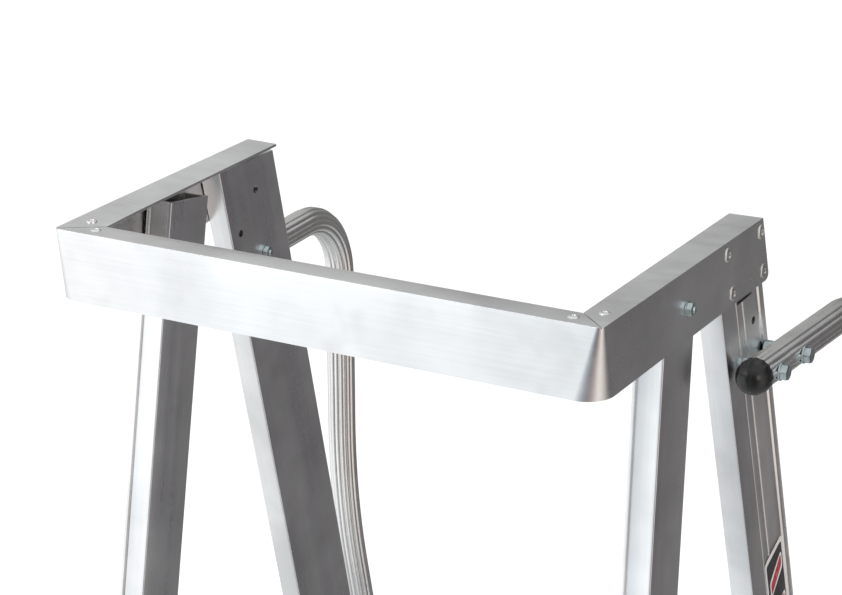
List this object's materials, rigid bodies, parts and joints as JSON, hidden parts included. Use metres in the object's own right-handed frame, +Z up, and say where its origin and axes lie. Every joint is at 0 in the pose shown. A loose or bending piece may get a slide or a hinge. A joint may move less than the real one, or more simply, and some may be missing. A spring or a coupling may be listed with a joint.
{
  "type": "folding platform stepladder",
  "caption": "Folding aluminium platform stepladder with box-section stiles, flat treads, a hinged platform, ribbed side handrails and a U-shaped guard rail around the top.",
  "frame": {"origin": "on the floor, midway between the outermost edges of the climbing shoes and of the rear shoes, on the plane of symmetry", "axes": "+Z up, +Y from the climber towards the closed side of the guard rail, +X to the climber's right hand when facing the treads"},
  "size_m": [0.6656, 0.922, 1.7616],
  "materials": {
    "extruded_aluminium": "mill-finish extrusion, satin, with fine lengthwise die lines",
    "sheet_aluminium": "mill-finish bent angle and plate, satin, lightly scuffed",
    "ribbed_tube": "satin extrusion with fine lengthwise ribs",
    "tread_aluminium": "mill-finish extrusion with raised anti-slip ribs",
    "zinc_hardware": "bright zinc-plated fasteners",
    "black_plastic": "moulded nylon, satin black",
    "rubber_feet": "matt black moulded rubber"
  },
  "bodies": {
    "climbing_frame": {"climbing_shoe_left": "rubber_feet", "climbing_shoe_right": "rubber_feet", "climbing_stile_left": "extruded_aluminium", "climbing_stile_right": "extruded_aluminium", "corner_gusset_left": "sheet_aluminium", "corner_gusset_right": "sheet_aluminium", "guard_rail": "sheet_aluminium", "handrail_bracket_lower_left": "zinc_hardware", "handrail_bracket_lower_right": "zinc_hardware", "handrail_bracket_upper_left": "zinc_hardware", "handrail_bracket_upper_right": "zinc_hardware", "handrail_cap_lower_left": "black_plastic", "handrail_cap_lower_right": "black_plastic", "handrail_cap_upper_left": "black_plastic", "handrail_cap_upper_right": "black_plastic", "handrail_left": "ribbed_tube", "handrail_right": "ribbed_tube", "knee_brace_left": "sheet_aluminium", "knee_brace_right": "sheet_aluminium", "pivot_bolt_left": "zinc_hardware", "pivot_bolt_right": "zinc_hardware", "pivot_washer_left": "black_plastic", "pivot_washer_right": "black_plastic", "platform_cross_tube": "extruded_aluminium", "platform_hinge_bolt_left": "zinc_hardware", "platform_hinge_bolt_right": "zinc_hardware", "tread_1": "tread_aluminium", "tread_1_bracket_left": "sheet_aluminium", "tread_1_bracket_right": "sheet_aluminium", "tread_2": "tread_aluminium", "tread_2_bracket_left": "sheet_aluminium", "tread_2_bracket_right": "sheet_aluminium"},
    "rear_frame": {"rear_stile_left": "extruded_aluminium", "rear_shoe_left": "rubber_feet", "rear_diagonal_left": "sheet_aluminium", "rear_stile_right": "extruded_aluminium", "rear_shoe_right": "rubber_feet", "rear_diagonal_right": "sheet_aluminium", "platform_rest_tube": "extruded_aluminium", "rear_brace_upper": "extruded_aluminium", "rear_brace_lower": "extruded_aluminium"},
    "platform": {"platform_side_left": "tread_aluminium", "platform_saddle_left": "black_plastic", "platform_side_right": "tread_aluminium", "platform_saddle_right": "black_plastic", "platform_plank_1": "tread_aluminium", "platform_plank_2": "tread_aluminium", "platform_plank_3": "tread_aluminium"}
  },
  "joints": [
    {"name": "rear_fold", "type": "hinge", "parent": "climbing_frame", "child": "rear_frame", "pos_m": [0, 0.16551, 1.7274], "axis": [-1, 0, 0], "range_deg": [0, 23.7]},
    {"name": "platform_lift", "type": "hinge", "parent": "climbing_frame", "child": "platform", "pos_m": [0, -0.17249, 0.846], "axis": [1, 0, 0], "range_deg": [0, 75]}
  ],
  "couplings": [
    {"joint": "platform_lift", "follows": "rear_fold", "ratio": 3.164}
  ]
}
